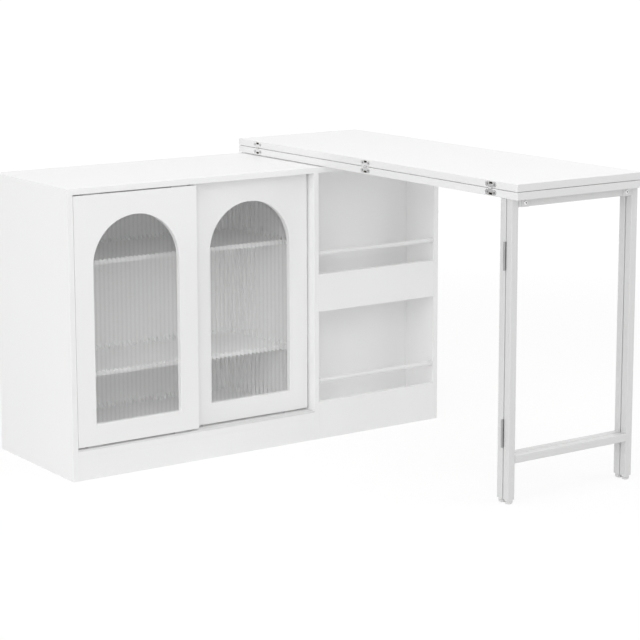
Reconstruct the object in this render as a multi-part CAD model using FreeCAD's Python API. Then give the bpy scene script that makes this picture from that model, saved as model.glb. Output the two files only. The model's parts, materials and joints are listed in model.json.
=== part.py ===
import FreeCAD, Part
import math
import os

# A kitchen table with a storage cabinet. The cabinet has two sliding doors with arched, fluted
# glass windows and a shallow open bay at its right. A table of two hinged leaves swivels on the
# cabinet's top, and its free end stands on two leg frames, one of which swings out.
# All sizes are in millimetres.
#
# Pieces are placed from the cabinet's lower left front corner: +X runs along the front to the
# right, +Y to the back and +Z up. Saving a piece moves it to the part's own origin, which is the
# middle of the whole footprint at floor level.

V = FreeCAD.Vector
AXIS_X = V(1, 0, 0)
AXIS_Y = V(0, 1, 0)
AXIS_Z = V(0, 0, 1)

# ---------------------------------------------------------------- driving dimensions

# Case boards
board = 15.0                   # thickness of every case board
cabinet_height = 735.0
cabinet_depth = 400.0
door_bay_width = 713.0         # clear width behind the sliding doors
open_bay_width = 385.0         # clear width of the open bay
plinth_height = 61.0           # floor to the underside of the bottom board
board_round = 0.6              # softened edge of a board
back_thickness = 3.0
back_inset = 8.0               # rear edge of the case to the back panel
back_groove_depth = 6.0
dowel_radius = 4.0
dowel_length = 30.0
dowel_in_top = 9.0             # how far a dowel enters the top board
dowel_end_distance = 60.0      # front or rear edge to the nearest dowel

# Storage shelves behind the doors
shelf_thickness = 12.0
shelf_front = 133.0            # case front to the front edge of a shelf
shelf_heights = (227.0, 516.0)  # undersides
shelf_play = 0.5               # at each end and at the back of a shelf
shelf_pin_radius = 2.5
shelf_pin_in_board = 8.0
shelf_pin_out = 8.0
shelf_pin_inset = 40.0         # from the front and rear edges of a shelf

# Open bay
bay_depth = 124.5              # case front to the bay's rear wall
bay_apron_bottom = 348.0
bay_apron_height = 100.0
bay_base_height = 102.0
bay_floor_top = 61.0
rail_radius = 6.0
rail_setback = 8.5             # case front to a rail's axis
rail_rise = 56.0               # apron or base board top to a rail's axis
rail_cup_radius = 8.0
rail_cup_length = 7.0
rail_cup_floor = 1.5

# Sliding doors: the left one runs in front of the right one
door_thickness = 15.0
door_setback = 1.0             # case front to the front door's face
door_pitch = 25.0              # face of the front door to face of the rear door
left_door_width = 351.0
door_lap = 1.0                 # overlap of the closed doors
left_door_gap = 1.5            # case side to the left door's edge
right_door_gap = 5.5           # right door's edge to the partition
door_top_gap = 3.5
door_bottom_gap = 5.0          # above the bottom track
door_round = 1.0
window_width = 246.0
window_sill = 53.5             # door's lower edge to the window
window_crown = 57.5            # top of the arch to the door's upper edge
window_round = 1.2             # softened front edge of the window
glass_thickness = 4.0          # over the flutes
glass_lap = 12.0               # glass behind the door around the window
flute_pitch = 12.2
flute_depth = 1.0
clip_width = 12.0
clip_thickness = 1.2
clip_foot = 10.0               # part of a clip on the door
clip_pad = 6.0                 # part of a clip on the glass
clip_rivet_radius = 2.5

# Door track and guides
track_height = 3.5             # above the bottom board
track_let_in = 1.0             # into a rebate of the bottom board
track_margin = 1.0             # track behind the rear door
track_groove_width = 5.0
track_groove_depth = 2.0
channel_wall = 1.5
channel_height = 7.0
glide_block_length = 40.0
glide_block_width = 8.0
glide_block_depth = 11.0       # into the door's edge
glide_end_distance = 30.0      # door's side edge to a block
glide_side_play = 0.5          # tongue to groove wall
slide_clearance = 0.3

# Table leaves
leaf_length = 1200.0
leaf_width = 402.0
leaf_thickness = 18.0
leaf_gap = 1.5                 # between the folded leaves
leaf_lift = 2.0                # cabinet top to the lower leaf
leaf_overhang_side = 12.0      # beyond the cabinet's right side
leaf_overhang_back = 6.0       # beyond the cabinet's back
leaf_round = 0.8
leaf_corner = 2.0              # upright corners of a leaf

# Swivel under the lower leaf
flange_radius = 80.0
flange_thickness = 3.0
stud_radius = 6.0
stud_tail = 16.0               # stud below the cabinet's top board
bushing_wall = 2.0
bushing_collar = 8.0           # collar's width beyond the barrel
running_fit = 0.05             # radial, between a pin or shaft and its hole
slip_ring_inner = 55.0
slip_ring_outer = 75.0
slip_play = 0.2                # rings to the flange above them
nut_across_flats = 18.0
nut_height = 10.0
nut_collar_radius = 14.0
nut_collar_height = 2.0
swivel_range = 90.0            # degrees
stop_radius = 45.0             # swivel axis to the stop pin
stop_pin_radius = 3.0
stop_pin_in_top = 10.0
stop_play = 0.2
stop_angle = 225.0             # of the stop pin about the swivel axis
flange_screw_circle = 68.0
flange_screw_count = 4

# Flip hinges between the leaves
flip_end_distance = 97.0       # leaf's end to the nearest hinge
flip_count = 3
flip_plate_length = 42.0
flip_plate_height = 13.0
flip_plate_thickness = 2.0
flip_waist = 12.0              # width of the neck and all its knuckles
flip_centre_knuckle = 5.0
flip_knuckle_radius = 2.5
flip_knuckle_gap = 0.4
flip_pin_radius = 1.2
flip_notch_play = 0.4          # knuckle to the leaves' notch
flip_screw_spacing = 25.0
flip_window_length = 12.0      # along the leaf, opening in a plate's outer half
flip_window_height = 5.0
flip_window_margin = 1.0       # plate's outer edge to the window
flip_pocket_depth = 7.0        # leaf's edge to the floor of the pocket behind a window

# Screws
screw_head_radius = 3.2
screw_head_height = 1.6
screw_shank_radius = 1.6
screw_length = 14.0
screw_cross_width = 0.8
screw_cross_depth = 0.9

# Leg frames of square tube
tube_size = 20.0
tube_wall = 1.2
tube_corner = 2.0
leg_inset_side = 2.0           # leaf's long edge to the leg frame
leg_inset_end = 20.0           # leaf's end to the fixed leg frame
leg_frame_gap = 3.0            # between the folded frames
swing_frame_lift = 1.0         # leaf's underside to the swinging frame
stretcher_height = 99.5        # floor to the stretcher's underside

# Feet of the legs
foot_height = 11.0             # floor to the tube's end
foot_pad_radius = 9.4
foot_pad_height = 6.0
foot_pad_round = 4.0
foot_neck_radius = 7.4
foot_neck_height = 1.2
foot_rim_radius = 9.8
foot_plug_play = 0.2
foot_plug_length = 15.0

# Brackets that hold the fixed leg frame's top rail
bracket_width = 21.0
bracket_thickness = 2.0
bracket_reach = 16.0           # flange under the leaf
bracket_bolt_inset = 39.0      # frame's side to the nearest bolt
bracket_screw_spacing = 12.0
bolt_shank_radius = 2.5
bolt_head_radius = 4.8
bolt_head_height = 2.2
bolt_socket_width = 3.2
bolt_socket_depth = 3.0

# Butt hinges between the leg frames. Their leaves lie in the gap between the folded frames.
leg_hinge_length = 68.0
leg_hinge_centres = (172.5, 601.0)
leg_hinge_leaf_width = 16.0    # legs' side face to a leaf's inner edge
leg_hinge_leaf_thickness = 1.2
leg_hinge_knuckle_radius = 2.8
leg_hinge_axis_offset = 3.7    # legs' side face to the hinge axis
leg_hinge_pin_radius = 1.25
leg_hinge_gap = 0.3            # between knuckles and round them

# ---------------------------------------------------------------- derived places

cabinet_length = door_bay_width + open_bay_width + 3 * board
partition_x = board + door_bay_width
bay_x = partition_x + board
right_side_x = bay_x + open_bay_width
top_z = cabinet_height - board
bottom_board_top = plinth_height + board
back_y = cabinet_depth - back_inset - back_thickness

track_top = bottom_board_top + track_height
door_bottom = track_top + door_bottom_gap
door_top = top_z - door_top_gap
left_door_x = board + left_door_gap
right_door_x = left_door_x + left_door_width - door_lap
right_door_width = partition_x - right_door_gap - right_door_x
rear_door_y = door_setback + door_pitch
window_bottom = door_bottom + window_sill
window_top = door_top - window_crown

leaf_bottom = cabinet_height + leaf_lift
leaf_top = leaf_bottom + leaf_thickness
upper_leaf_bottom = leaf_top + leaf_gap
leaf_x1 = cabinet_length + leaf_overhang_side
leaf_x0 = leaf_x1 - leaf_width
leaf_y1 = cabinet_depth + leaf_overhang_back
leaf_y0 = leaf_y1 - leaf_length

# The swivel axis is the middle of the square at the leaf's rear end, so that the turned leaf
# covers the cabinet's depth.
pivot_x = leaf_x0 + leaf_width / 2
pivot_y = leaf_y1 - leaf_width / 2

flip_axis_x = leaf_x0 - leaf_gap / 2
flip_axis_z = leaf_top + leaf_gap / 2

leg_x0 = leaf_x0 + leg_inset_side
leg_x1 = leaf_x1 - leg_inset_side
fixed_frame_y = leaf_y0 + leg_inset_end
swing_frame_y = fixed_frame_y + tube_size + leg_frame_gap
leg_hinge_x = leg_x0 - leg_hinge_axis_offset
leg_hinge_y = fixed_frame_y + tube_size + leg_frame_gap / 2

footprint_right = max(cabinet_length, leaf_x1)
footprint_back = max(cabinet_depth, leaf_y1)
part_origin = V(footprint_right / 2, (leaf_y0 + footprint_back) / 2, 0)

# ---------------------------------------------------------------- shared shapes


def block(x0, x1, y0, y1, z0, z1):
    """A box between two opposite corners."""
    return Part.makeBox(x1 - x0, y1 - y0, z1 - z0, V(x0, y0, z0))


def soft_block(x0, x1, y0, y1, z0, z1, radius=board_round):
    """A board whose edges are all softened."""
    plain = block(x0, x1, y0, y1, z0, z1)
    return plain.makeFillet(radius, plain.Edges)


def cylinder(start, direction, radius, length):
    """A round bar from a start point along a direction."""
    return Part.makeCylinder(radius, length, start, direction)


def ring(centre, inner, outer, height):
    """A flat ring standing on its centre point, with its axis upright."""
    return cylinder(centre, AXIS_Z, outer, height).cut(cylinder(centre, AXIS_Z, inner, height))


def edges_along(shape, direction):
    """The straight edges of a shape that run along a direction."""
    found = []
    for edge in shape.Edges:
        first, last = edge.Vertexes[0].Point, edge.Vertexes[-1].Point
        span = last.sub(first)
        if span.Length > 0 and abs(span.dot(direction)) > 0.999 * span.Length:
            found.append(edge)
    return found


def hexagonal_bar(start, direction, across_flats, length):
    """A six-sided bar from a start point along a direction."""
    side_radius = across_flats / math.sqrt(3)
    corners = []
    for k in range(7):
        turn = math.radians(60 * k)
        corners.append(V(side_radius * math.cos(turn), side_radius * math.sin(turn), 0))
    bar = Part.Face(Part.makePolygon(corners)).extrude(V(0, 0, length))
    bar.Placement = FreeCAD.Placement(start, FreeCAD.Rotation(AXIS_Z, direction))
    return bar


def screw_body(start, direction, play=0.0):
    """Countersunk head and shank. The head's face is at the start point."""
    head = Part.makeCone(
        screw_head_radius + play, screw_shank_radius + play, screw_head_height, start, direction)
    return head.fuse(cylinder(start, direction, screw_shank_radius + play, screw_length))


def screw(start, direction):
    """Countersunk screw with a cross recess in its head."""
    recess_span = 1.1 * screw_head_radius
    bars = []
    for turn in (0, 90):
        bar = block(
            -recess_span / 2, recess_span / 2,
            -screw_cross_width / 2, screw_cross_width / 2,
            0, screw_cross_depth)
        bar.rotate(V(0, 0, 0), AXIS_Z, turn)
        bar.Placement = FreeCAD.Placement(
            start, FreeCAD.Rotation(AXIS_Z, direction)).multiply(bar.Placement)
        bars.append(bar)
    return screw_body(start, direction).cut(bars)


def save(name, *solids):
    """Write one piece, or a group of equal pieces, as a STEP file about the part's origin."""
    shape = solids[0].copy() if len(solids) == 1 else Part.makeCompound(list(solids))
    shape.translate(part_origin.negative())
    shape.exportStep("parts/" + name + ".step")


# ---------------------------------------------------------------- cabinet case


def dowel_places():
    """Lower ends of the dowels between the uprights and the top board."""
    middle = cabinet_depth / 2
    rows = (dowel_end_distance, middle, cabinet_depth - dowel_end_distance)
    places = []
    for upright_x in (0, partition_x, right_side_x):
        for row_y in rows:
            places.append(V(upright_x + board / 2, row_y, top_z + dowel_in_top - dowel_length))
    return places


def dowel_holes():
    """Holes for the dowels, as tools to cut from the uprights and the top board."""
    return [
        cylinder(place, AXIS_Z, dowel_radius + running_fit, dowel_length)
        for place in dowel_places()
    ]


def back_panel_space():
    """The back panel with the edges that sit in the grooves of the sides and the top."""
    return block(
        board - back_groove_depth, right_side_x + back_groove_depth,
        back_y, back_y + back_thickness,
        plinth_height, top_z + back_groove_depth)


def shelf_pin_holes():
    """Blind holes for the shelf pins in both boards beside the shelves."""
    holes = []
    for underside in shelf_heights:
        for pin_y in shelf_pin_rows():
            pin_z = underside - shelf_pin_radius
            radius = shelf_pin_radius + running_fit
            left = V(board, pin_y, pin_z)
            right = V(partition_x, pin_y, pin_z)
            holes.append(cylinder(left, -AXIS_X, radius, shelf_pin_in_board))
            holes.append(cylinder(right, AXIS_X, radius, shelf_pin_in_board))
    return holes


def shelf_pin_rows():
    """Front and rear distances of the shelf pins."""
    return (shelf_front + shelf_pin_inset, back_y - shelf_pin_inset)


def guide_channel_lines():
    """Centre lines of the two door channels, front door first."""
    return (door_setback + door_thickness / 2, rear_door_y + door_thickness / 2)


def guide_channel_outer(line_y):
    """Outside of one door channel in the underside of the top board."""
    half = track_groove_width / 2 + channel_wall
    return block(board, partition_x, line_y - half, line_y + half, top_z, top_z + channel_height)


def make_uprights():
    cuts = dowel_holes() + shelf_pin_holes()
    left = soft_block(0, board, 0, cabinet_depth, 0, top_z)
    save("cabinet_side_left", left.cut(cuts + [back_panel_space()]))
    partition = soft_block(partition_x, bay_x, 0, back_y, 0, top_z)
    save("cabinet_partition", partition.cut(cuts))
    right = soft_block(right_side_x, cabinet_length, 0, cabinet_depth, 0, top_z)
    save("cabinet_side_right", right.cut(cuts + [back_panel_space()]))


def make_top():
    top = soft_block(0, cabinet_length, 0, cabinet_depth, top_z, cabinet_height)
    cuts = dowel_holes() + [back_panel_space()]
    for line_y in guide_channel_lines():
        cuts.append(guide_channel_outer(line_y))
    barrel = stud_radius + running_fit + bushing_wall
    cuts.append(cylinder(V(pivot_x, pivot_y, top_z), AXIS_Z, barrel + running_fit, board))
    pin_foot = stop_pin_place()
    cuts.append(cylinder(pin_foot, AXIS_Z, stop_pin_radius + running_fit, stop_pin_in_top))
    save("cabinet_top", top.cut(cuts))


def track_space():
    """The bottom track, whose underside sits in a shallow rebate of the bottom board."""
    rear = rear_door_y + door_thickness + track_margin
    return block(board, partition_x, 0, rear, bottom_board_top - track_let_in, track_top)


def make_case_boards():
    bottom = soft_block(board, partition_x, 0, back_y, plinth_height, bottom_board_top)
    save("cabinet_bottom", bottom.cut(track_space()))
    save("cabinet_back_panel", back_panel_space())
    save("plinth_board", soft_block(board, partition_x, 0, board, 0, plinth_height))
    save("cabinet_dowels",
         *[cylinder(place, AXIS_Z, dowel_radius, dowel_length) for place in dowel_places()])


def make_storage_shelves():
    for name, underside in zip(("lower", "upper"), shelf_heights):
        save("storage_shelf_" + name, soft_block(
            board + shelf_play, partition_x - shelf_play,
            shelf_front, back_y - shelf_play,
            underside, underside + shelf_thickness))
    pins = []
    length = shelf_pin_in_board + shelf_pin_out
    for underside in shelf_heights:
        for pin_y in shelf_pin_rows():
            pin_z = underside - shelf_pin_radius
            left = V(board - shelf_pin_in_board, pin_y, pin_z)
            right = V(partition_x + shelf_pin_in_board, pin_y, pin_z)
            pins.append(cylinder(left, AXIS_X, shelf_pin_radius, length))
            pins.append(cylinder(right, -AXIS_X, shelf_pin_radius, length))
    save("shelf_pins", *pins)


# ---------------------------------------------------------------- open bay


def rail_heights():
    """Heights of the two rails' axes, lower one first."""
    apron_top = bay_apron_bottom + bay_apron_height
    return (bay_base_height + rail_rise, apron_top + rail_rise)


def rail_cup(face_x, inward, rail_z):
    """Cup on a board's face that holds one end of a rail."""
    base = V(face_x, rail_setback, rail_z)
    outer = cylinder(base, inward, rail_cup_radius, rail_cup_length)
    outer = outer.makeFillet(board_round, outer.Edges)
    bore_start = base.add(inward * rail_cup_floor)
    bore = cylinder(bore_start, inward, rail_radius + running_fit, rail_cup_length)
    return outer.cut(bore)


def make_bay():
    apron_top = bay_apron_bottom + bay_apron_height
    save("bay_base_board", soft_block(bay_x, right_side_x, 0, board, 0, bay_base_height))
    save("bay_apron", soft_block(bay_x, right_side_x, 0, board, bay_apron_bottom, apron_top))
    save("bay_floor", soft_block(
        bay_x, right_side_x, board, bay_depth, bay_floor_top - board, bay_floor_top))
    save("bay_shelf", soft_block(
        bay_x, right_side_x, board, bay_depth, bay_apron_bottom, bay_apron_bottom + board))
    save("bay_rear_wall", soft_block(
        bay_x, right_side_x, bay_depth, bay_depth + board, bay_floor_top - board, top_z))


def make_rails():
    cups = []
    for name, rail_z in zip(("lower", "upper"), rail_heights()):
        start = V(bay_x + rail_cup_floor, rail_setback, rail_z)
        length = open_bay_width - 2 * rail_cup_floor
        save("bay_rail_" + name, cylinder(start, AXIS_X, rail_radius, length))
        cups.append(rail_cup(bay_x, AXIS_X, rail_z))
        cups.append(rail_cup(right_side_x, -AXIS_X, rail_z))
    save("bay_rail_cups", *cups)


# ---------------------------------------------------------------- sliding doors


def arch_prism(centre_x, width, bottom, top, y0, y1):
    """Upright arch with a half-round head, as a prism from y0 to y1."""
    half = width / 2
    spring = top - half
    lower = block(centre_x - half, centre_x + half, y0, y1, bottom, spring)
    head = cylinder(V(centre_x, y0, spring), AXIS_Y, half, y1 - y0)
    return lower.fuse(head).removeSplitter()


def glide_block_starts(door_x, width):
    """Left ends of the two glide blocks along a door."""
    return (
        door_x + glide_end_distance,
        door_x + width - glide_end_distance - glide_block_length,
    )


def glide_blocks(door_x, width, door_y):
    """Nylon blocks in a door's lower and upper edge, without their tongues."""
    line_y = door_y + door_thickness / 2
    half = glide_block_width / 2
    blocks = []
    for start in glide_block_starts(door_x, width):
        end = start + glide_block_length
        blocks.append(block(
            start, end, line_y - half, line_y + half, door_bottom, door_bottom + glide_block_depth))
        blocks.append(block(
            start, end, line_y - half, line_y + half, door_top - glide_block_depth, door_top))
    return blocks


def glide_tongues(door_x, width, door_y):
    """Tongues that run in the bottom track and in the top channels, in the blocks' order."""
    line_y = door_y + door_thickness / 2
    half = track_groove_width / 2 - glide_side_play
    lowest = track_top - track_groove_depth + slide_clearance
    highest = top_z + channel_height - channel_wall - slide_clearance
    tongues = []
    for start in glide_block_starts(door_x, width):
        end = start + glide_block_length
        tongues.append(block(start, end, line_y - half, line_y + half, lowest, door_bottom))
        tongues.append(block(start, end, line_y - half, line_y + half, door_top, highest))
    return tongues


def door_panel(door_x, width, door_y):
    """Door board with its arched window and the mortises of its glide blocks."""
    panel = soft_block(
        door_x, door_x + width, door_y, door_y + door_thickness, door_bottom, door_top, door_round)
    window = arch_prism(
        door_x + width / 2, window_width, window_bottom, window_top,
        door_y, door_y + door_thickness)
    panel = panel.cut(window)
    rim = []
    for edge in panel.Edges:
        box = edge.BoundBox
        on_face = abs(box.YMin - door_y) < 1e-6 and abs(box.YMax - door_y) < 1e-6
        inside = box.ZMin > window_bottom - 1e-6 and box.ZMax < window_top + 1e-6
        beside = abs(box.Center.x - door_x - width / 2) < window_width / 2 + 1e-6
        if on_face and inside and beside:
            rim.append(edge)
    panel = panel.makeFillet(window_round, rim)
    return panel.cut(glide_blocks(door_x, width, door_y))


def fluted_glass(centre_x, front_y):
    """Pane with upright round flutes on its front, lapping behind the window's edge."""
    pane_width = window_width + 2 * glass_lap
    flute_count = round(pane_width / flute_pitch)
    pitch = pane_width / flute_count
    left = centre_x - pane_width / 2
    bottom = window_bottom - glass_lap
    valley_y = front_y + flute_depth
    edges = []
    for k in range(flute_count):
        start = V(left + k * pitch, valley_y, bottom)
        crest = V(left + (k + 0.5) * pitch, front_y, bottom)
        end = V(left + (k + 1) * pitch, valley_y, bottom)
        edges.append(Part.Arc(start, crest, end).toShape())
    right = left + pane_width
    back = front_y + glass_thickness
    outline = [V(right, valley_y, bottom), V(right, back, bottom), V(left, back, bottom),
               V(left, valley_y, bottom)]
    for first, second in zip(outline, outline[1:]):
        edges.append(Part.makeLine(first, second))
    pane_height = window_top - window_bottom + 2 * glass_lap
    return Part.Face(Part.Wire(edges)).extrude(V(0, 0, pane_height))


def glass_clip(glass_edge_x, outward, door_back_y, clip_z):
    """Stepped clip: its foot is riveted to the door and its pad holds the glass."""
    glass_back = door_back_y + glass_thickness
    z0 = clip_z - clip_width / 2
    z1 = clip_z + clip_width / 2

    def strip(near, far, y0, y1):
        first = glass_edge_x + outward * near
        second = glass_edge_x + outward * far
        return block(min(first, second), max(first, second), y0, y1, z0, z1)

    foot = strip(0, clip_foot, door_back_y, door_back_y + clip_thickness)
    riser = strip(0, clip_thickness, door_back_y, glass_back + clip_thickness)
    pad = strip(-clip_pad, clip_thickness, glass_back, glass_back + clip_thickness)
    rivet_x = glass_edge_x + outward * (clip_foot + clip_thickness) / 2
    rivet = cylinder(
        V(rivet_x, door_back_y, clip_z), AXIS_Y, clip_rivet_radius, 2 * clip_thickness)
    return foot.fuse([riser, pad, rivet]).removeSplitter()


def make_door(name, door_x, width, door_y):
    centre_x = door_x + width / 2
    door_back_y = door_y + door_thickness
    save(name + "_panel", door_panel(door_x, width, door_y))
    save(name + "_glass", fluted_glass(centre_x, door_back_y))
    glides = []
    for shoe, tongue in zip(glide_blocks(door_x, width, door_y),
                            glide_tongues(door_x, width, door_y)):
        glides.append(shoe.fuse(tongue))
    save(name + "_glides", *glides)
    clips = []
    half = window_width / 2 + glass_lap
    middle = (window_bottom + window_top) / 2
    reach = (window_top - window_bottom) / 2 - glass_lap
    for clip_z in (middle - reach, middle, middle + reach):
        clips.append(glass_clip(centre_x - half, -1, door_back_y, clip_z))
        clips.append(glass_clip(centre_x + half, 1, door_back_y, clip_z))
    save(name + "_glass_clips", *clips)


def make_door_tracks():
    track = track_space()
    half = track_groove_width / 2
    for line_y in guide_channel_lines():
        track = track.cut(block(
            board, partition_x, line_y - half, line_y + half,
            track_top - track_groove_depth, track_top))
    save("door_track_bottom", track)
    channels = []
    for line_y in guide_channel_lines():
        slot = block(
            board, partition_x, line_y - half, line_y + half,
            top_z, top_z + channel_height - channel_wall)
        channels.append(guide_channel_outer(line_y).cut(slot))
    save("door_channels_top", *channels)


# ---------------------------------------------------------------- swivel


def stop_pin_place():
    """Lower end of the stop pin in the cabinet's top board."""
    turn = math.radians(stop_angle)
    return V(
        pivot_x + stop_radius * math.cos(turn),
        pivot_y + stop_radius * math.sin(turn),
        cabinet_height - stop_pin_in_top)


def stop_slot():
    """Arc slot in the flange. The pin reaches one end at rest and the other at full turn."""
    half = stop_pin_radius + stop_play
    centre = V(pivot_x, pivot_y, leaf_bottom)
    band = ring(centre, stop_radius - half, stop_radius + half, flange_thickness)
    far = 2 * stop_radius
    start = math.radians(stop_angle - swivel_range)
    end = math.radians(stop_angle)
    middle = (start + end) / 2
    corners = [centre]
    for turn in (start, middle, end):
        reach = far / math.cos((end - start) / 2) if turn == middle else far
        corners.append(centre.add(V(reach * math.cos(turn), reach * math.sin(turn), 0)))
    corners.append(centre)
    wedge = Part.Face(Part.makePolygon(corners)).extrude(V(0, 0, flange_thickness))
    slot = band.common(wedge)
    for turn in (start, end):
        tip = centre.add(V(stop_radius * math.cos(turn), stop_radius * math.sin(turn), 0))
        slot = slot.fuse(cylinder(tip, AXIS_Z, half, flange_thickness))
    return slot


def flange_screw_places():
    """Heads of the screws that fix the flange to the lower leaf."""
    places = []
    for k in range(flange_screw_count):
        turn = math.radians(360.0 / flange_screw_count * k)
        places.append(V(
            pivot_x + flange_screw_circle * math.cos(turn),
            pivot_y + flange_screw_circle * math.sin(turn),
            leaf_bottom))
    return places


def make_swivel():
    axis_at_top = V(pivot_x, pivot_y, cabinet_height)
    axis_at_under = V(pivot_x, pivot_y, top_z)
    flange = cylinder(V(pivot_x, pivot_y, leaf_bottom), AXIS_Z, flange_radius, flange_thickness)
    stud_foot = V(pivot_x, pivot_y, top_z - stud_tail)
    stud = cylinder(stud_foot, AXIS_Z, stud_radius, leaf_bottom - stud_foot.z)
    holes = [screw_body(place, AXIS_Z, running_fit) for place in flange_screw_places()]
    save("swivel_flange", flange.fuse(stud).cut([stop_slot()] + holes))

    bore = stud_radius + running_fit
    collar_height = leaf_lift - slip_play
    barrel = ring(axis_at_under, bore, bore + bushing_wall, board)
    collar = ring(axis_at_top, bore, bore + bushing_wall + bushing_collar, collar_height)
    save("swivel_bushing", barrel.fuse(collar).removeSplitter())
    save("swivel_slip_ring", ring(axis_at_top, slip_ring_inner, slip_ring_outer, collar_height))

    collar_foot = V(pivot_x, pivot_y, top_z - slide_clearance - nut_collar_height)
    nut = hexagonal_bar(collar_foot, -AXIS_Z, nut_across_flats, nut_height)
    nut_collar = cylinder(collar_foot, AXIS_Z, nut_collar_radius, nut_collar_height)
    thread = cylinder(
        V(pivot_x, pivot_y, top_z - board - nut_height), AXIS_Z, bore, board + nut_height)
    save("swivel_nut", nut.fuse(nut_collar).cut(thread))

    pin_top = leaf_bottom + flange_thickness - slip_play
    pin_foot = stop_pin_place()
    save("swivel_stop_pin", cylinder(pin_foot, AXIS_Z, stop_pin_radius, pin_top - pin_foot.z))


# ---------------------------------------------------------------- flip hinges


def flip_hinge_rows():
    """Middles of the flip hinges along the leaves' inner long edge."""
    first = leaf_y0 + flip_end_distance
    last = leaf_y1 - flip_end_distance
    step = (last - first) / (flip_count - 1)
    return [first + k * step for k in range(flip_count)]


def flip_plate_outline(hinge_y, side):
    """Oblong plate and its neck up to the hinge axis. Side is -1 below the axis, 1 above."""
    half_height = flip_plate_height / 2
    half_straight = flip_plate_length / 2 - half_height
    middle_z = flip_axis_z + side * (leaf_gap / 2 + leaf_thickness / 2)
    x1 = leaf_x0 + flip_plate_thickness
    straight = block(
        leaf_x0, x1, hinge_y - half_straight, hinge_y + half_straight,
        middle_z - half_height, middle_z + half_height)
    ends = [
        cylinder(V(leaf_x0, hinge_y + shift, middle_z), AXIS_X, half_height, flip_plate_thickness)
        for shift in (-half_straight, half_straight)
    ]
    leaf_face = flip_axis_z + side * leaf_gap / 2
    neck = block(
        leaf_x0, x1, hinge_y - flip_waist / 2, hinge_y + flip_waist / 2,
        min(middle_z, leaf_face), max(middle_z, leaf_face))
    return straight.fuse(ends + [neck]).removeSplitter()


def flip_knuckle_spans(hinge_y, side):
    """Start and end of each knuckle: two outer ones below the axis, the centre one above."""
    centre = flip_centre_knuckle / 2
    outer = flip_waist / 2
    if side > 0:
        return [(hinge_y - centre, hinge_y + centre)]
    inner = centre + flip_knuckle_gap
    return [(hinge_y - outer, hinge_y - inner), (hinge_y + inner, hinge_y + outer)]


def flip_axis_cylinder(y0, y1, radius):
    return cylinder(V(flip_axis_x, y0, flip_axis_z), AXIS_Y, radius, y1 - y0)


def flip_screw_places(hinge_y, side):
    middle_z = flip_axis_z + side * (leaf_gap / 2 + leaf_thickness / 2)
    return [
        V(leaf_x0, hinge_y + shift * flip_screw_spacing / 2, middle_z)
        for shift in (-1, 1)
    ]


def flip_window(hinge_y, side, depth):
    """Opening in the half of a plate that is farther from the axis, to a depth."""
    middle_z = flip_axis_z + side * (leaf_gap / 2 + leaf_thickness / 2)
    outer_z = middle_z + side * (flip_plate_height / 2 - flip_window_margin)
    inner_z = outer_z - side * flip_window_height
    return block(
        leaf_x0, leaf_x0 + depth,
        hinge_y - flip_window_length / 2, hinge_y + flip_window_length / 2,
        min(outer_z, inner_z), max(outer_z, inner_z))


def flip_plate(hinge_y, side):
    """Hinge plate with its own knuckles and window, clear of the other plate's knuckles."""
    plate = flip_plate_outline(hinge_y, side)
    knuckles = []
    for y0, y1 in flip_knuckle_spans(hinge_y, side):
        knuckles.append(flip_axis_cylinder(y0, y1, flip_knuckle_radius))
    clearances = []
    for y0, y1 in flip_knuckle_spans(hinge_y, -side):
        clearances.append(flip_axis_cylinder(
            y0 - flip_knuckle_gap, y1 + flip_knuckle_gap, flip_knuckle_radius + flip_notch_play))
    pin_hole = flip_axis_cylinder(
        hinge_y - flip_waist, hinge_y + flip_waist, flip_pin_radius + running_fit)
    screws = [screw_body(place, AXIS_X, running_fit) for place in flip_screw_places(hinge_y, side)]
    window = flip_window(hinge_y, side, flip_plate_thickness)
    return plate.cut(clearances).fuse(knuckles).cut([pin_hole, window] + screws)


def flip_recess(hinge_y, side):
    """Pockets in a leaf's edge for a plate, its screws, its window and the knuckles' notch."""
    notch_half = flip_waist / 2 + flip_notch_play
    notch = flip_axis_cylinder(
        hinge_y - notch_half, hinge_y + notch_half, flip_knuckle_radius + flip_notch_play)
    screws = [screw_body(place, AXIS_X, running_fit) for place in flip_screw_places(hinge_y, side)]
    pocket = flip_window(hinge_y, side, flip_pocket_depth)
    return [flip_plate_outline(hinge_y, side), notch, pocket] + screws


def make_flip_hinges():
    for name, side in (("lower", -1), ("upper", 1)):
        plates = [flip_plate(hinge_y, side) for hinge_y in flip_hinge_rows()]
        save("flip_hinge_plates_" + name, *plates)
        screws = []
        for hinge_y in flip_hinge_rows():
            for place in flip_screw_places(hinge_y, side):
                screws.append(screw(place, AXIS_X))
        save("flip_hinge_screws_" + name, *screws)
    pins = []
    for hinge_y in flip_hinge_rows():
        pins.append(flip_axis_cylinder(
            hinge_y - flip_waist / 2, hinge_y + flip_waist / 2, flip_pin_radius))
    save("flip_hinge_pins", *pins)


# ---------------------------------------------------------------- table leaves


def plain_leaf(bottom):
    """Leaf with rounded upright corners and softened rims."""
    leaf = block(leaf_x0, leaf_x1, leaf_y0, leaf_y1, bottom, bottom + leaf_thickness)
    leaf = leaf.makeFillet(leaf_corner, edges_along(leaf, AXIS_Z))
    rims = [edge for edge in leaf.Edges if edge.BoundBox.ZLength < 1e-6]
    return leaf.makeFillet(leaf_round, rims)


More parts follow.
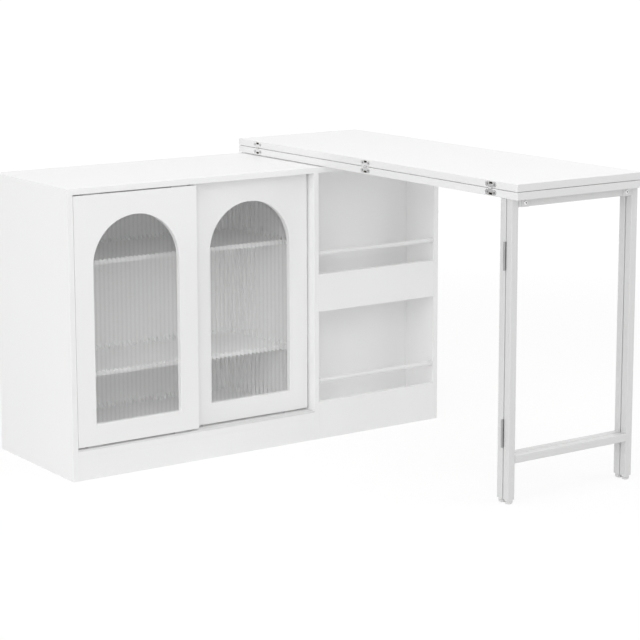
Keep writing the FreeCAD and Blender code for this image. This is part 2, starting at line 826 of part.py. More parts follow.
def make_leaves():
    lower = plain_leaf(leaf_bottom)
    cuts = [cylinder(V(pivot_x, pivot_y, leaf_bottom), AXIS_Z, flange_radius, flange_thickness)]
    for place in flange_screw_places() + bracket_screw_places():
        cuts.append(screw_body(place, AXIS_Z, running_fit))
    for hinge_y in flip_hinge_rows():
        cuts.extend(flip_recess(hinge_y, -1))
    save("table_leaf_lower", lower.cut(cuts))
    upper = plain_leaf(upper_leaf_bottom)
    cuts = []
    for hinge_y in flip_hinge_rows():
        cuts.extend(flip_recess(hinge_y, 1))
    save("table_leaf_upper", upper.cut(cuts))


# ---------------------------------------------------------------- leg frames


def tube(x0, x1, y0, y1, z0, z1, direction):
    """Open square tube along a direction."""
    outer = block(x0, x1, y0, y1, z0, z1)
    outer = outer.makeFillet(tube_corner, edges_along(outer, direction))
    wall = V(tube_wall, tube_wall, tube_wall) - direction * tube_wall
    inner = block(x0 + wall.x, x1 - wall.x, y0 + wall.y, y1 - wall.y, z0 + wall.z, z1 - wall.z)
    inner = inner.makeFillet(tube_corner - tube_wall, edges_along(inner, direction))
    return outer.cut(inner)


def leg(x0, frame_y, top):
    """Upright tube with a welded cap on its upper end."""
    x1 = x0 + tube_size
    y1 = frame_y + tube_size
    cap = block(x0, x1, frame_y, y1, top - tube_wall, top)
    cap = cap.makeFillet(tube_corner, edges_along(cap, AXIS_Z))
    return tube(x0, x1, frame_y, y1, foot_height, top, AXIS_Z).fuse(cap).removeSplitter()


def foot(leg_x, frame_y):
    """Turned foot: pad on the floor, narrow neck, bell under the tube and plug inside it."""
    pad_flat = foot_pad_radius - foot_pad_round
    neck_bottom = foot_pad_height
    neck_top = foot_pad_height + foot_neck_height
    plug_radius = tube_size / 2 - tube_wall - foot_plug_play
    diagonal = foot_pad_round * math.sin(math.radians(45))
    lower_arc = Part.Arc(
        V(pad_flat, 0, 0),
        V(pad_flat + diagonal, 0, foot_pad_round - diagonal),
        V(foot_pad_radius, 0, foot_pad_round))
    bell_height = foot_height - neck_top
    bell_span = foot_rim_radius - foot_pad_radius
    bell_arc = Part.Arc(
        V(foot_pad_radius, 0, neck_top),
        V(foot_rim_radius - bell_span / 4, 0, neck_top + bell_height / 2),
        V(foot_rim_radius, 0, foot_height))
    corners = [
        V(foot_pad_radius, 0, foot_pad_round),
        V(foot_pad_radius, 0, neck_bottom),
        V(foot_neck_radius, 0, neck_bottom),
        V(foot_neck_radius, 0, neck_top),
        V(foot_pad_radius, 0, neck_top),
    ]
    plug = [
        V(foot_rim_radius, 0, foot_height),
        V(plug_radius, 0, foot_height),
        V(plug_radius, 0, foot_height + foot_plug_length),
        V(0, 0, foot_height + foot_plug_length),
        V(0, 0, 0),
        V(pad_flat, 0, 0),
    ]
    edges = [lower_arc.toShape()]
    for first, second in zip(corners, corners[1:]):
        edges.append(Part.makeLine(first, second))
    edges.append(bell_arc.toShape())
    for first, second in zip(plug, plug[1:]):
        edges.append(Part.makeLine(first, second))
    solid = Part.Face(Part.Wire(edges)).revolve(V(0, 0, 0), AXIS_Z, 360)
    solid.translate(V(leg_x + tube_size / 2, frame_y + tube_size / 2, 0))
    return solid


def make_leg_frame(name, frame_y, top, rail_cuts):
    """Two legs, a top rail and a stretcher of square tube, and the feet."""
    inner_x0 = leg_x0 + tube_size
    inner_x1 = leg_x1 - tube_size
    y1 = frame_y + tube_size
    save(name + "_leg_left", leg(leg_x0, frame_y, top))
    save(name + "_leg_right", leg(inner_x1, frame_y, top))
    rail = tube(inner_x0, inner_x1, frame_y, y1, top - tube_size, top, AXIS_X)
    save(name + "_top_rail", rail.cut(rail_cuts) if rail_cuts else rail)
    save(name + "_stretcher", tube(
        inner_x0, inner_x1, frame_y, y1,
        stretcher_height, stretcher_height + tube_size, AXIS_X))
    save(name + "_feet", foot(leg_x0, frame_y), foot(inner_x1, frame_y))


def bracket_bolt_places():
    """Middles of the bolts on the front faces of the bracket plates."""
    bolt_z = leaf_bottom - tube_size / 2
    front = fixed_frame_y - bracket_thickness
    return [
        V(leg_x0 + bracket_bolt_inset, front, bolt_z),
        V(leg_x1 - bracket_bolt_inset, front, bolt_z),
    ]


def bracket_screw_places():
    """Heads of the screws that fix the brackets under the lower leaf."""
    row_y = fixed_frame_y - bracket_thickness - bracket_reach / 2
    places = []
    for bolt in bracket_bolt_places():
        for shift in (-1, 1):
            places.append(V(
                bolt.x + shift * bracket_screw_spacing / 2,
                row_y,
                leaf_bottom - bracket_thickness))
    return places


def bolt_shank(place):
    """Shank through the bracket plate and the rail."""
    length = bracket_thickness + tube_size - tube_wall / 2
    return cylinder(place, AXIS_Y, bolt_shank_radius, length)


def bolt_hole(place):
    length = bracket_thickness + tube_size
    return cylinder(place, AXIS_Y, bolt_shank_radius + running_fit, length)


def bolt(place):
    """Low-head bolt with a hexagonal socket."""
    head = cylinder(place, -AXIS_Y, bolt_head_radius, bolt_head_height)
    front_y = place.y - bolt_head_height
    rim = [
        edge for edge in head.Edges
        if abs(edge.BoundBox.YMin - front_y) < 1e-6 and abs(edge.BoundBox.YMax - front_y) < 1e-6
    ]
    head = head.makeFillet(0.7 * bolt_head_height, rim)
    socket = hexagonal_bar(
        V(place.x, front_y, place.z), AXIS_Y, bolt_socket_width, bolt_socket_depth)
    return head.fuse(bolt_shank(place)).cut(socket)


def bracket(bolt_place):
    """Angle bracket with one flange on the rail's front and one under the leaf."""
    half = bracket_width / 2
    front = fixed_frame_y - bracket_thickness
    plate = block(
        bolt_place.x - half, bolt_place.x + half, front, fixed_frame_y,
        leaf_bottom - tube_size, leaf_bottom)
    flange = block(
        bolt_place.x - half, bolt_place.x + half, front - bracket_reach, fixed_frame_y,
        leaf_bottom - bracket_thickness, leaf_bottom)
    holes = [bolt_hole(bolt_place)]
    for place in bracket_screw_places():
        if abs(place.x - bolt_place.x) < half:
            holes.append(screw_body(place, AXIS_Z, running_fit))
    return plate.fuse(flange).cut(holes)


def make_brackets():
    for name, place in zip(("left", "right"), bracket_bolt_places()):
        save("leg_bracket_" + name, bracket(place))
    save("leg_bracket_bolts", *[bolt(place) for place in bracket_bolt_places()])
    places = flange_screw_places() + bracket_screw_places()
    save("leaf_underside_screws", *[screw(place, AXIS_Z) for place in places])


def leg_hinge_spans(centre_z, side):
    """Bottom and top of each knuckle: the outer two on the fixed side, the centre on the other."""
    half = leg_hinge_length / 2
    third = leg_hinge_length / 6
    if side > 0:
        return [(centre_z - third, centre_z + third)]
    inner = third + leg_hinge_gap
    return [(centre_z - half, centre_z - inner), (centre_z + inner, centre_z + half)]


def leg_hinge_cylinder(z0, z1, radius):
    return cylinder(V(leg_hinge_x, leg_hinge_y, z0), AXIS_Z, radius, z1 - z0)


def leg_hinge_leaf(centre_z, side):
    """Hinge leaf welded to a leg. Side is -1 on the fixed frame, 1 on the swinging frame."""
    half = leg_hinge_length / 2
    on_leg = leg_hinge_y + side * leg_frame_gap / 2
    inner = on_leg - side * leg_hinge_leaf_thickness
    leaf = block(
        leg_hinge_x, leg_x0 + leg_hinge_leaf_width, min(on_leg, inner), max(on_leg, inner),
        centre_z - half, centre_z + half)
    clearances = []
    for z0, z1 in leg_hinge_spans(centre_z, -side):
        clearances.append(leg_hinge_cylinder(
            z0 - leg_hinge_gap, z1 + leg_hinge_gap, leg_hinge_knuckle_radius + leg_hinge_gap))
    knuckles = []
    for z0, z1 in leg_hinge_spans(centre_z, side):
        knuckles.append(leg_hinge_cylinder(z0, z1, leg_hinge_knuckle_radius))
    pin_hole = leg_hinge_cylinder(
        centre_z - half, centre_z + half, leg_hinge_pin_radius + running_fit)
    return leaf.cut(clearances).fuse(knuckles).cut(pin_hole)


def make_leg_hinges():
    for name, side in (("fixed", -1), ("swing", 1)):
        leaves = [leg_hinge_leaf(centre_z, side) for centre_z in leg_hinge_centres]
        save("leg_hinge_leaves_" + name, *leaves)
    pins = []
    half = leg_hinge_length / 2
    for centre_z in leg_hinge_centres:
        pins.append(leg_hinge_cylinder(centre_z - half, centre_z + half, leg_hinge_pin_radius))
    save("leg_hinge_pins", *pins)


# ---------------------------------------------------------------- all pieces

os.makedirs("parts", exist_ok=True)

make_uprights()
make_top()
make_case_boards()
make_storage_shelves()
make_bay()
make_rails()
make_door_tracks()
make_door("door_left", left_door_x, left_door_width, door_setback)
make_door("door_right", right_door_x, right_door_width, rear_door_y)
make_leaves()
make_swivel()
make_flip_hinges()
make_leg_frame("fixed_frame", fixed_frame_y, leaf_bottom,
               [bolt_hole(place) for place in bracket_bolt_places()])
make_leg_frame("swing_frame", swing_frame_y, leaf_bottom - swing_frame_lift, [])
make_brackets()
make_leg_hinges()
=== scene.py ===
import json
import math
import bpy
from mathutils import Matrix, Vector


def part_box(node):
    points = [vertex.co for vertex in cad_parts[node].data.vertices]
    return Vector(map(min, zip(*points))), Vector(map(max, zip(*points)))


# A white kitchen table that swivels on a storage cabinet, on a pale studio floor.
# All sizes are in metres.

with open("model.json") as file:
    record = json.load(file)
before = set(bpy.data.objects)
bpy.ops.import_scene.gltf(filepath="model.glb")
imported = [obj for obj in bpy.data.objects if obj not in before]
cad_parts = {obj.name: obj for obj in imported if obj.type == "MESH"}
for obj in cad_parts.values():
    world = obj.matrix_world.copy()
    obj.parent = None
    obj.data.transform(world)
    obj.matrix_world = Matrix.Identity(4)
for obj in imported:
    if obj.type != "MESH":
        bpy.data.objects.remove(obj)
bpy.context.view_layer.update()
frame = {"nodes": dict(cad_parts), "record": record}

# ---------------------------------------------------------------- paint and board

# Linear grey levels
case_white = 0.92
back_white = 0.90
shelf_white = 0.95
door_white = 0.92
leaf_white = 0.92
rail_grey = 0.84
frame_grey = 0.73

frame_skin = 0.7               # share of the frames' paint that has a glossy skin
skin_roughness = 0.16

long_band = 0.96               # tone of a leaf's long edge bands against its faces
end_band_painted_shade = 0.86                # painted shade: tone of a leaf's end bands against its faces, darker than the long bands
band_thickness = 0.0004        # edge band on a leaf
leaf_skin = 0.0015             # below this depth a cut leaf shows its bare core, darkened as painted shade
core_brown_and_pocket_shade = (0.10, 0.075, 0.05, 1.0)

beech_dark = (0.48, 0.33, 0.20, 1.0)
beech_pale = (0.66, 0.49, 0.33, 1.0)

# ---------------------------------------------------------------- glass and bolts

glass_dim = (0.985, 0.987, 0.985, 1.0)
glass_clear = (0.998, 1.0, 0.998, 1.0)
glass_index = 1.5
flute_depth = 0.001            # of the creases between the glass's flutes
crease_painted_shade = 0.14            # painted shade: how much darker a crease is than a crest

socket_radius = 0.002          # of the round of painted shade on each bolt's hexagonal socket
socket_painted_shade = 0.93            # painted shade: how much darker the socket is than the bolt's head

# ---------------------------------------------------------------- patterns of the surfaces

# Depth of each relief
board_pebble = 0.00012
rail_peel = 0.00008
frame_peel = 0.00012
plastic_grain = 0.00004
steel_streaks = 0.00003
glass_ripple = 0.00002
beech_fibres = 0.0002

fleck_share = 0.25             # of a board's fine flecks against its broad clouds
dimple_share = 0.6             # of the paint's coarse dimples against its fine peel
drawn_upright = (1.0, 1.0, 0.08)    # stretch of a pattern that runs along Z
drawn_along = (1.0, 0.08, 1.0)      # and of one that runs along Y

# ---------------------------------------------------------------- light and studio

room_light = 0.44              # strength of the white room round the object
lamp_aim = (0, 0, 0.4)         # where each lamp points
lamps = (                      # name, place, side of the square, watts
    ("Front left lamp", (-5.0, -6.2, 4.9), 5.0, 155.0),
    ("Front right lamp", (5.0, -5.0, 4.0), 4.0, 84.0),
    ("Left lamp", (-7.0, -1.0, 2.4), 4.0, 117.0),
    ("Ceiling lamp", (0.0, -0.6, 5.5), 5.0, 110.0),
)
diffuse_bounces = 12           # enough for light to fill the inside of the cabinet
light_bounces = 24

floor_reach = 90.0             # half the side of the floor
floor_grey = 0.86
floor_glow = 1.05
near_glow = 0.8                # share of the glow in the floor beside the object
shadow_reach = 1.8             # the floor starts to fade to plain white at this distance
white_reach = 4.5              # and is plain white from here on

camera_place = (-2.9186, -4.2577, 1.4148)
camera_turn = (80.045, 0.126, -34.767)    # degrees about X, Y and Z
camera_shift = -0.08           # of the view, as a share of the sensor's width
lens_length = 116.74           # in millimetres, like the sensor
sensor_width = 36.0
nearest_seen = 0.1
farthest_seen = 400.0

# ---------------------------------------------------------------- node helpers


def feed(tree, source, socket):
    """Feed an input socket from an output socket, or set it to a fixed value."""
    if isinstance(source, bpy.types.NodeSocket):
        tree.links.new(source, socket)
    else:
        socket.default_value = source


def feed_inputs(tree, node, **sources):
    """Feed a node's inputs by name. An underscore in a name stands for a space."""
    for label, source in sources.items():
        feed(tree, source, node.inputs[label.replace("_", " ")])


def add_node(tree, kind, **sources):
    """A node in a tree, with the inputs that are named here fed."""
    made = tree.nodes.new(kind)
    feed_inputs(tree, made, **sources)
    return made


def add_group(tree, group, **sources):
    """A shared group in a tree, with the inputs that are named here fed."""
    made = tree.nodes.new("ShaderNodeGroup")
    made.node_tree = group
    feed_inputs(tree, made, **sources)
    return made


def start_group(name, inputs, outputs):
    """A shader node group with named sockets. Returns it with its entry and exit nodes."""
    group = bpy.data.node_groups.new(name, "ShaderNodeTree")
    for label, kind, value in inputs:
        socket = group.interface.new_socket(label, in_out="INPUT", socket_type=kind)
        socket.default_value = value
    for label, kind in outputs:
        group.interface.new_socket(label, in_out="OUTPUT", socket_type=kind)
    return group, group.nodes.new("NodeGroupInput"), group.nodes.new("NodeGroupOutput")


def start_material(name):
    """A new material. Returns it with its node tree and its shader."""
    material = bpy.data.materials.new(name)
    material.use_nodes = True
    tree = material.node_tree
    return material, tree, tree.nodes["Principled BSDF"]


def object_place(tree):
    """Place on the object, so that a pattern keeps its real size and moves with its piece."""
    return add_node(tree, "ShaderNodeTexCoord").outputs["Object"]


def object_coordinates(tree):
    """The X, Y and Z of a place on the object, as output sockets."""
    return add_node(tree, "ShaderNodeSeparateXYZ", Vector=object_place(tree)).outputs


def noise(tree, vector, scale, detail, roughness=0.5):
    """Noise that follows a vector. Returns its 0 to 1 output."""
    made = add_node(
        tree, "ShaderNodeTexNoise",
        Vector=vector, Scale=scale, Detail=detail, Roughness=roughness)
    return made.outputs["Fac"]


def arithmetic(tree, operation, *operands):
    """A math node. Each operand is an output socket or a number."""
    made = tree.nodes.new("ShaderNodeMath")
    made.operation = operation
    for socket, operand in zip(made.inputs, operands):
        feed(tree, operand, socket)
    return made.outputs[0]


def spread_about(tree, value, middle, spread):
    """Turns a 0 to 1 value into one that varies about a middle by a spread."""
    centred = arithmetic(tree, "SUBTRACT", value, 0.5)
    scaled = arithmetic(tree, "MULTIPLY", centred, spread)
    return arithmetic(tree, "ADD", scaled, middle)


def apart(tree, first, second):
    """How far apart two values are."""
    return arithmetic(tree, "ABSOLUTE", arithmetic(tree, "SUBTRACT", first, second))


def shade(tree, colour, factor):
    """A colour times a factor."""
    made = tree.nodes.new("ShaderNodeVectorMath")
    made.operation = "SCALE"
    feed(tree, colour, made.inputs[0])
    feed(tree, factor, made.inputs["Scale"])
    return made.outputs[0]


def blend_colours(tree, share, first, second):
    """The first colour where the share is 0 and the second where it is 1."""
    made = tree.nodes.new("ShaderNodeMix")
    made.data_type = "RGBA"
    feed_inputs(tree, made, Factor=share, A=first, B=second)
    return made.outputs["Result"]


def blend_shaders(tree, share, first, second):
    """The first shader where the share is 0 and the second where it is 1."""
    made = add_node(tree, "ShaderNodeMixShader", Fac=share)
    feed(tree, first, made.inputs[1])
    feed(tree, second, made.inputs[2])
    return made.outputs[0]


def relief(tree, height, depth, strength):
    """Surface direction that follows a pattern of heights."""
    made = add_node(
        tree, "ShaderNodeBump", Height=height, Distance=depth, Strength=strength)
    return made.outputs["Normal"]


def seen_directly(tree):
    """1 for what is seen straight, in a reflection or through glass, 0 for other light."""
    paths = tree.nodes.new("ShaderNodeLightPath").outputs
    seen = arithmetic(tree, "MAXIMUM", paths["Is Camera Ray"], paths["Is Glossy Ray"])
    return arithmetic(tree, "MAXIMUM", seen, paths["Is Transmission Ray"])


def grey(level):
    """A neutral colour."""
    return (level, level, level, 1.0)


# ---------------------------------------------------------------- shared finishes

surface_outputs = [
    ("Color", "NodeSocketColor"),
    ("Roughness", "NodeSocketFloat"),
    ("Height", "NodeSocketFloat"),
]


def laminate_group():
    """Melamine face: fine pebble, faint cloudy tone and handling marks in the gloss."""
    group, entry, leave = start_group("Laminate face", [
        ("Color", "NodeSocketColor", grey(0.8)),
        ("Roughness", "NodeSocketFloat", 0.4),
        ("Tone", "NodeSocketFloat", 0.02),
        ("Marks", "NodeSocketFloat", 0.1),
        ("Pebble size", "NodeSocketFloat", 800.0),
    ], surface_outputs)
    given = entry.outputs
    place = object_place(group)
    cloud = noise(group, place, scale=5.0, detail=3.0)
    fleck = noise(group, place, scale=140.0, detail=2.0)
    marks = noise(group, place, scale=22.0, detail=5.0, roughness=0.65)
    pebble = noise(group, place, scale=given["Pebble size"], detail=2.0)
    flecks = arithmetic(group, "MULTIPLY", fleck, fleck_share)
    mottle = arithmetic(group, "ADD", cloud, flecks)
    tone = spread_about(group, mottle, middle=1.0, spread=given["Tone"])
    gloss = spread_about(group, marks, middle=given["Roughness"], spread=given["Marks"])
    colour = shade(group, given["Color"], tone)
    feed_inputs(group, leave, Color=colour, Roughness=gloss, Height=pebble)
    return group


def powder_coat_group():
    """Sprayed powder paint: tight orange peel with a few coarser dimples."""
    group, entry, leave = start_group("Powder coat", [
        ("Color", "NodeSocketColor", grey(0.7)),
        ("Roughness", "NodeSocketFloat", 0.45),
        ("Peel size", "NodeSocketFloat", 1100.0),
        ("Tone", "NodeSocketFloat", 0.03),
    ], surface_outputs)
    given = entry.outputs
    place = object_place(group)
    peel = add_node(group, "ShaderNodeTexVoronoi", Vector=place, Scale=given["Peel size"])
    peel.feature = "SMOOTH_F1"
    feed_inputs(group, peel, Smoothness=0.8)
    dimples = noise(group, place, scale=260.0, detail=3.0)
    cloud = noise(group, place, scale=14.0, detail=4.0)
    dents = arithmetic(group, "MULTIPLY", dimples, dimple_share)
    height = arithmetic(group, "ADD", peel.outputs["Distance"], dents)
    tone = spread_about(group, cloud, middle=1.0, spread=given["Tone"])
    gloss = spread_about(group, dimples, middle=given["Roughness"], spread=0.12)
    colour = shade(group, given["Color"], tone)
    feed_inputs(group, leave, Color=colour, Roughness=gloss, Height=height)
    return group


def plated_metal_group():
    """Zinc-plated steel: a cloudy plating tone, and drawing streaks in gloss and relief."""
    group, entry, leave = start_group("Plated metal", [
        ("Color", "NodeSocketColor", grey(0.6)),
        ("Roughness", "NodeSocketFloat", 0.3),
        ("Stretch", "NodeSocketVector", drawn_upright),
        ("Tone", "NodeSocketFloat", 0.2),
    ], surface_outputs)
    given = entry.outputs
    place = object_place(group)
    drawn = group.nodes.new("ShaderNodeVectorMath")
    drawn.operation = "MULTIPLY"
    feed(group, place, drawn.inputs[0])
    feed(group, given["Stretch"], drawn.inputs[1])
    streaks = noise(group, drawn.outputs[0], scale=320.0, detail=4.0)
    cloud = noise(group, place, scale=120.0, detail=4.0, roughness=0.6)
    tone = spread_about(group, cloud, middle=1.0, spread=given["Tone"])
    gloss = spread_about(group, streaks, middle=given["Roughness"], spread=0.25)
    colour = shade(group, given["Color"], tone)
    feed_inputs(group, leave, Color=colour, Roughness=gloss, Height=streaks)
    return group


def moulded_plastic_group():
    """Injection-moulded plastic: spark-eroded grain and soft flow clouds."""
    group, entry, leave = start_group("Moulded plastic", [
        ("Color", "NodeSocketColor", grey(0.7)),
        ("Roughness", "NodeSocketFloat", 0.5),
        ("Grain size", "NodeSocketFloat", 2200.0),
        ("Tone", "NodeSocketFloat", 0.05),
    ], surface_outputs)
    given = entry.outputs
    place = object_place(group)
    grain = noise(group, place, scale=given["Grain size"], detail=1.0)
    flow = noise(group, place, scale=60.0, detail=3.0)
    tone = spread_about(group, flow, middle=1.0, spread=given["Tone"])
    gloss = spread_about(group, flow, middle=given["Roughness"], spread=0.15)
    colour = shade(group, given["Color"], tone)
    feed_inputs(group, leave, Color=colour, Roughness=gloss, Height=grain)
    return group


def painted_crease_shade_group():
    """Painted shade on pressed glass, darker by its depth below the crests of its upright flutes.
    """
    group, entry, leave = start_group("Painted flute crease shade", [
        ("Crest", "NodeSocketFloat", 0.0),
        ("Depth", "NodeSocketFloat", 0.001),
        ("Shade", "NodeSocketFloat", 0.1),
    ], [("Tone", "NodeSocketFloat")])
    given = entry.outputs
    sunk = arithmetic(group, "SUBTRACT", object_coordinates(group)["Y"], given["Crest"])
    share = arithmetic(group, "DIVIDE", sunk, given["Depth"])
    limited = arithmetic(group, "MINIMUM", share, 1.0)
    darker = arithmetic(group, "MULTIPLY", limited, given["Shade"])
    feed_inputs(group, leave, Tone=arithmetic(group, "SUBTRACT", 1.0, darker))
    return group


laminate = laminate_group()
powder_coat = powder_coat_group()
plated_metal = plated_metal_group()
moulded_plastic = moulded_plastic_group()
painted_crease_shade = painted_crease_shade_group()

# ---------------------------------------------------------------- materials


def finished_material(name, group, depth, metallic=0.0, skin=0.0, **values):
    """A material whose colour, gloss and relief come from a shared finish, under a clear skin."""
    material, tree, shader = start_material(name)
    finish = add_group(tree, group, **values).outputs
    feed_inputs(
        tree, shader,
        Metallic=metallic, Coat_Weight=skin, Coat_Roughness=skin_roughness,
        Base_Color=finish["Color"], Roughness=finish["Roughness"],
        Normal=relief(tree, finish["Height"], depth, strength=0.6))
    return material


def board_material(name, level, roughness, tone=0.015):
    """White laminated board. The tone says how much its white varies."""
    return finished_material(
        name, laminate, board_pebble, Color=grey(level), Roughness=roughness, Tone=tone)


def plastic_material(name, level, roughness):
    """Moulded plastic of a grey level."""
    return finished_material(
        name, moulded_plastic, plastic_grain, Color=grey(level), Roughness=roughness)


def steel_material(name, level, roughness, stretch=drawn_upright):
    """Plated steel, with drawing streaks whose direction follows the stretch."""
    return finished_material(
        name, plated_metal, steel_streaks, metallic=1.0,
        Color=grey(level), Roughness=roughness, Stretch=stretch)


def open_finish(material):
    """A finished material's node tree, its shader and the colour that feeds the shader."""
    tree = material.node_tree
    shader = tree.nodes["Principled BSDF"]
    return tree, shader, shader.inputs["Base Color"].links[0].from_socket


def beyond(tree, coordinate, low, high, skin):
    """1 where a coordinate is outside two limits or within a skin's thickness of them, else 0."""
    under = arithmetic(tree, "LESS_THAN", coordinate, low + skin)
    over = arithmetic(tree, "GREATER_THAN", coordinate, high - skin)
    return arithmetic(tree, "ADD", under, over)


def leaf_board_material(node):
    """Laminate with slightly greyer edge bands, darker on the ends as painted shade, and a bare
    brown core, darkened as painted shade, where the leaf is cut.
    """
    material = board_material("Board of " + node, leaf_white, roughness=0.36)
    tree, shader, face_colour = open_finish(material)
    limits = list(zip(object_coordinates(tree), *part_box(node)))
    sides, ends = [beyond(tree, *limit, band_thickness) for limit in limits[:2]]
    side_tone = arithmetic(tree, "MULTIPLY", sides, long_band - 1.0)
    # The end bands are darkened as painted shade. The long bands are a greyer band material.
    end_painted_shade = arithmetic(tree, "MULTIPLY", ends, end_band_painted_shade - 1.0)
    tone = arithmetic(tree, "ADD", 1.0, arithmetic(tree, "MINIMUM", side_tone, end_painted_shade))
    near_x, near_y, near_z = [beyond(tree, *limit, leaf_skin) for limit in limits]
    near_edges = arithmetic(tree, "ADD", near_x, near_y)
    skin = arithmetic(tree, "MINIMUM", arithmetic(tree, "ADD", near_edges, near_z), 1.0)
    # Painted shade: the bare core in the cut pockets is darker than raw board, to stand for the
    # shade inside them.
    colour = blend_colours(tree, skin, core_brown_and_pocket_shade, shade(tree, face_colour, tone))
    feed_inputs(tree, shader, Base_Color=colour)
    return material


def bolt_material(node):
    """Plated steel with painted shade on the socket in the middle of each of a row of two bolt
    heads.
    """
    material = steel_material("Plated steel of " + node, level=0.88, roughness=0.26)
    tree, shader, metal = open_finish(material)
    low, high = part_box(node)
    middle = (low + high) / 2
    head_radius = (high[2] - low[2]) / 2
    head_offset = (high[0] - low[0]) / 2 - head_radius
    spot = object_coordinates(tree)
    sideways = apart(tree, apart(tree, spot["X"], middle[0]), head_offset)
    upwards = apart(tree, spot["Z"], middle[2])
    squares = [arithmetic(tree, "POWER", distance, 2.0) for distance in (sideways, upwards)]
    # Painted shade: a round on each head's socket is darkened in the steel's colour.
    inside = arithmetic(
        tree, "LESS_THAN", arithmetic(tree, "ADD", *squares), socket_radius ** 2)
    tone = arithmetic(tree, "SUBTRACT", 1.0, arithmetic(tree, "MULTIPLY", inside, socket_painted_shade))
    feed_inputs(tree, shader, Base_Color=shade(tree, metal, tone))
    return material


def fluted_glass_material(node):
    """Cast glass of one door, with painted shade in the creases between its flutes, that casts no
    shadow.
    """
    material, tree, shader = start_material("Fluted glass of " + node)
    place = object_place(tree)
    cloud = noise(tree, place, scale=18.0, detail=3.0)
    polish = noise(tree, place, scale=90.0, detail=3.0)
    ripple = noise(tree, place, scale=160.0, detail=2.0)
    tint = blend_colours(tree, cloud, glass_dim, glass_clear)
    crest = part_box(node)[0][1]
    # Painted shade: the creases between the flutes are darkened in the glass's colour.
    creases = add_group(
        tree, painted_crease_shade, Crest=crest, Depth=flute_depth, Shade=crease_painted_shade)
    feed_inputs(
        tree, shader, Transmission_Weight=1.0, IOR=glass_index,
        Base_Color=shade(tree, tint, creases.outputs["Tone"]),
        Roughness=spread_about(tree, polish, middle=0.05, spread=0.03),
        Normal=relief(tree, ripple, glass_ripple, strength=0.1))
    clear = add_node(tree, "ShaderNodeBsdfTransparent", Color=grey(1.0))
    shadow = tree.nodes.new("ShaderNodeLightPath").outputs["Is Shadow Ray"]
    blend = blend_shaders(tree, shadow, shader.outputs[0], clear.outputs[0])
    feed(tree, blend, tree.nodes["Material Output"].inputs["Surface"])
    return material


def bare_beech_material():
    """Turned beech: long fibres and a warm tone."""
    material, tree, shader = start_material("Bare beech")
    along = add_node(
        tree, "ShaderNodeMapping", Vector=object_place(tree), Scale=drawn_upright)
    fibres = noise(tree, along.outputs["Vector"], scale=900.0, detail=4.0, roughness=0.6)
    feed_inputs(
        tree, shader,
        Base_Color=blend_colours(tree, fibres, beech_dark, beech_pale),
        Roughness=spread_about(tree, fibres, middle=0.65, spread=0.2),
        Normal=relief(tree, fibres, beech_fibres, strength=0.5))
    return material


finishes = {
    "case_board": board_material("Cabinet board", case_white, roughness=0.42),
    "back_board": board_material("Back board", back_white, roughness=0.6, tone=0.04),
    "shelf_board": board_material("Shelf board", shelf_white, roughness=0.42),
    "door_board": board_material("Door board", door_white, roughness=0.40),
    "beech_dowel": bare_beech_material(),
    "rail_metal": finished_material(
        "Painted rail", powder_coat, rail_peel, Color=grey(rail_grey), Roughness=0.42),
    "frame_metal": finished_material(
        "Painted steel tube", powder_coat, frame_peel, skin=frame_skin,
        Color=grey(frame_grey), Roughness=0.40),
    "white_plastic": plastic_material("White moulded plastic", level=0.78, roughness=0.45),
    "natural_nylon": plastic_material("Natural nylon", level=0.62, roughness=0.5),
    "foot_plastic": plastic_material("Foot plastic", level=0.80, roughness=0.5),
    "swivel_steel": steel_material("Plated swivel steel", level=0.60, roughness=0.32),
    "hinge_steel": steel_material(
        "Plated hinge steel", level=0.76, roughness=0.22, stretch=drawn_along),
    "screw_steel": steel_material("Plated screw steel", level=0.42, roughness=0.30),
    "leg_hinge_steel": steel_material("Plated butt hinge steel", level=0.40, roughness=0.34),
}

# Finishes whose pattern follows the place of a node
placed_finishes = {
    "fluted_glass": fluted_glass_material,
    "leaf_board": leaf_board_material,
    "bolt_steel": bolt_material,
}


def dress_nodes():
    """Give every CAD node the finish of its material slot."""
    slot_of = {entry["node"]: entry["material_slot"] for entry in frame["record"]["subparts"]}
    for name, piece in frame["nodes"].items():
        slot = slot_of[name]
        finish = placed_finishes[slot](name) if slot in placed_finishes else finishes[slot]
        piece.material_slots[0].material = finish


dress_nodes()

# ---------------------------------------------------------------- studio


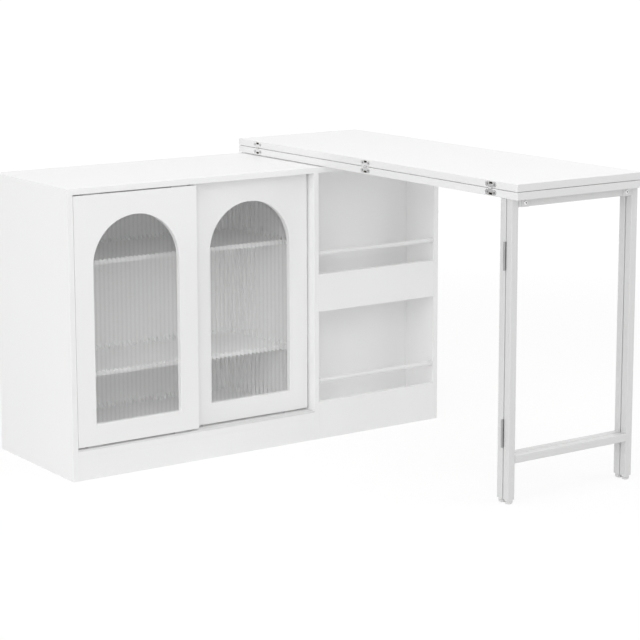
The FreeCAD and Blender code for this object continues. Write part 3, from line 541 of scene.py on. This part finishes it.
def make_floor():
    """White floor that keeps a faint shadow by the object and fades to plain white round it."""
    bpy.ops.mesh.primitive_plane_add(size=2 * floor_reach, location=(0, 0, 0))
    floor = bpy.context.object
    floor.name = "studio_floor"
    material, tree, shader = start_material("Studio floor")
    tree.nodes.remove(shader)
    matte = add_node(tree, "ShaderNodeBsdfDiffuse", Color=grey(floor_grey))
    glow = add_node(tree, "ShaderNodeEmission", Color=grey(1.0), Strength=floor_glow)
    away = tree.nodes.new("ShaderNodeVectorMath")
    away.operation = "LENGTH"
    feed(tree, object_place(tree), away.inputs[0])
    fade = add_node(
        tree, "ShaderNodeMapRange", Value=away.outputs["Value"],
        From_Min=shadow_reach, From_Max=white_reach, To_Min=near_glow, To_Max=1.0)
    fade.interpolation_type = "SMOOTHSTEP"
    share = arithmetic(tree, "MULTIPLY", seen_directly(tree), fade.outputs["Result"])
    blend = blend_shaders(tree, share, matte.outputs[0], glow.outputs[0])
    feed(tree, blend, tree.nodes["Material Output"].inputs["Surface"])
    floor.data.materials.append(material)


def make_room():
    """Even white room that lights from all sides and shows as white behind the object."""
    world = bpy.data.worlds.new("White room")
    bpy.context.scene.world = world
    world.use_nodes = True
    tree = world.node_tree
    tree.nodes.clear()
    extra = arithmetic(tree, "MULTIPLY", seen_directly(tree), 1.0 - room_light)
    strength = arithmetic(tree, "ADD", extra, room_light)
    light = add_node(tree, "ShaderNodeBackground", Color=grey(1.0), Strength=strength)
    add_node(tree, "ShaderNodeOutputWorld", Surface=light.outputs[0])


def make_lamp(name, place, size, power):
    """A square soft lamp that faces the object."""
    data = bpy.data.lights.new(name, "AREA")
    data.size = size
    data.energy = power
    lamp = bpy.data.objects.new(name, data)
    bpy.context.scene.collection.objects.link(lamp)
    lamp.location = place
    towards = [end - start for start, end in zip(place, lamp_aim)]
    flat = math.hypot(towards[0], towards[1])
    lamp.rotation_euler = (
        math.atan2(flat, -towards[2]), 0, math.atan2(towards[1], towards[0]) - math.pi / 2)


def make_camera():
    """Camera in front of the object and to its left, higher than the table."""
    data = bpy.data.cameras.new("Camera")
    data.lens = lens_length
    data.sensor_width = sensor_width
    data.shift_y = camera_shift
    data.clip_start = nearest_seen
    data.clip_end = farthest_seen
    camera = bpy.data.objects.new("Camera", data)
    bpy.context.scene.collection.objects.link(camera)
    camera.location = camera_place
    camera.rotation_euler = [math.radians(angle) for angle in camera_turn]
    bpy.context.scene.camera = camera


make_floor()
make_room()
for lamp_values in lamps:
    make_lamp(*lamp_values)
make_camera()
bpy.context.scene.cycles.diffuse_bounces = diffuse_bounces
bpy.context.scene.cycles.max_bounces = light_bounces
bpy.context.scene.view_settings.view_transform = "Standard"
